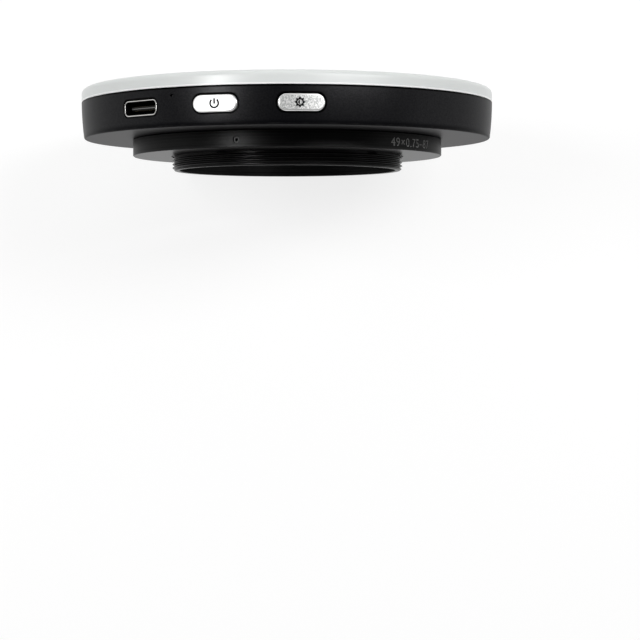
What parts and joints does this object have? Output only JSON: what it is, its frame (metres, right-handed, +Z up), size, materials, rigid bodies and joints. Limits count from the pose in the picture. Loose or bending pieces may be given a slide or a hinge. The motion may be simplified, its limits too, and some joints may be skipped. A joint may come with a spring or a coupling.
{
  "type": "led ring light",
  "caption": "Flat ring-shaped photo light that screws into a lens's filter thread, with a milky front, rim buttons and a rim charging socket.",
  "frame": {"origin": "on the light's axis, in the plane where the adapter ring's back face meets the lens's front rim", "axes": "+Y along the axis, the way the light shines; +Z up, the side of the power and brightness buttons; +X to the right seen from behind, from the camera"},
  "size_m": [0.087, 0.0169, 0.0873],
  "materials": {
    "anodised_black": "black anodised, fine turned grain",
    "screw_steel": "plain",
    "washer_plastic": "smooth low-friction sheet",
    "housing_black": "satin black, very fine grain",
    "milky_white": "milky, smooth satin",
    "board_white": "white solder mask",
    "board_green": "green solder mask",
    "led_warm": "phosphor under clear resin",
    "led_cool": "phosphor under clear resin",
    "film_white": "matt reflective film",
    "chip_black": "moulded epoxy",
    "ferrite": "sintered ferrite",
    "contact_gold": "gold flash",
    "nickel_shell": "nickel plated",
    "tongue_grey": "moulded",
    "switch_black": "moulded",
    "plunger_white": "moulded",
    "button_silver": "bead-blasted silver",
    "clear_pipe": "clear moulded",
    "foam_tape": "foam",
    "wire_red": "insulated wire",
    "wire_black": "insulated wire",
    "cell_foil": "laminated pouch foil"
  },
  "bodies": {
    "adapter": {"adapter_ring": "anodised_black", "clamp_screws": "screw_steel", "friction_washer": "washer_plastic"},
    "head": {"rear_housing": "housing_black", "diffuser": "milky_white", "led_board": "board_white", "warm_leds": "led_warm", "cool_leds": "led_cool", "reflector_film": "film_white", "led_board_screws": "screw_steel", "control_board": "board_green", "control_board_screws": "screw_steel", "board_chips": "chip_black", "inductor": "ferrite", "board_link": "chip_black", "link_pins": "contact_gold", "usb_shell": "nickel_shell", "usb_tongue": "tongue_grey", "usb_contacts": "contact_gold", "power_switch": "switch_black", "brightness_switch": "switch_black", "charge_led": "led_warm", "light_pipe": "clear_pipe", "cell_tape": "foam_tape", "battery_wires_red": "wire_red", "battery_wires_black": "wire_black", "cell_right": "cell_foil", "cell_lower_right": "cell_foil", "cell_lower_left": "cell_foil", "cell_left": "cell_foil"},
    "power_button": {"power_button": "button_silver", "power_plunger": "plunger_white"},
    "brightness_button": {"brightness_button": "button_silver", "brightness_plunger": "plunger_white"}
  },
  "joints": [
    {"name": "head_turn", "type": "hinge", "parent": "adapter", "child": "head", "pos_m": [0, 0, 0], "axis": [0, 1, 0], "continuous": true},
    {"name": "power_press", "type": "slide", "parent": "head", "child": "power_button", "axis": [0.2974, 0, -0.9548], "range_m": [0, 0.0003], "stiffness_N_per_m": 2000, "springref_m": -0.0001},
    {"name": "brightness_press", "type": "slide", "parent": "head", "child": "brightness_button", "axis": [-0.0802, 0, -0.9968], "range_m": [0, 0.0003], "stiffness_N_per_m": 2000, "springref_m": -0.0001}
  ]
}
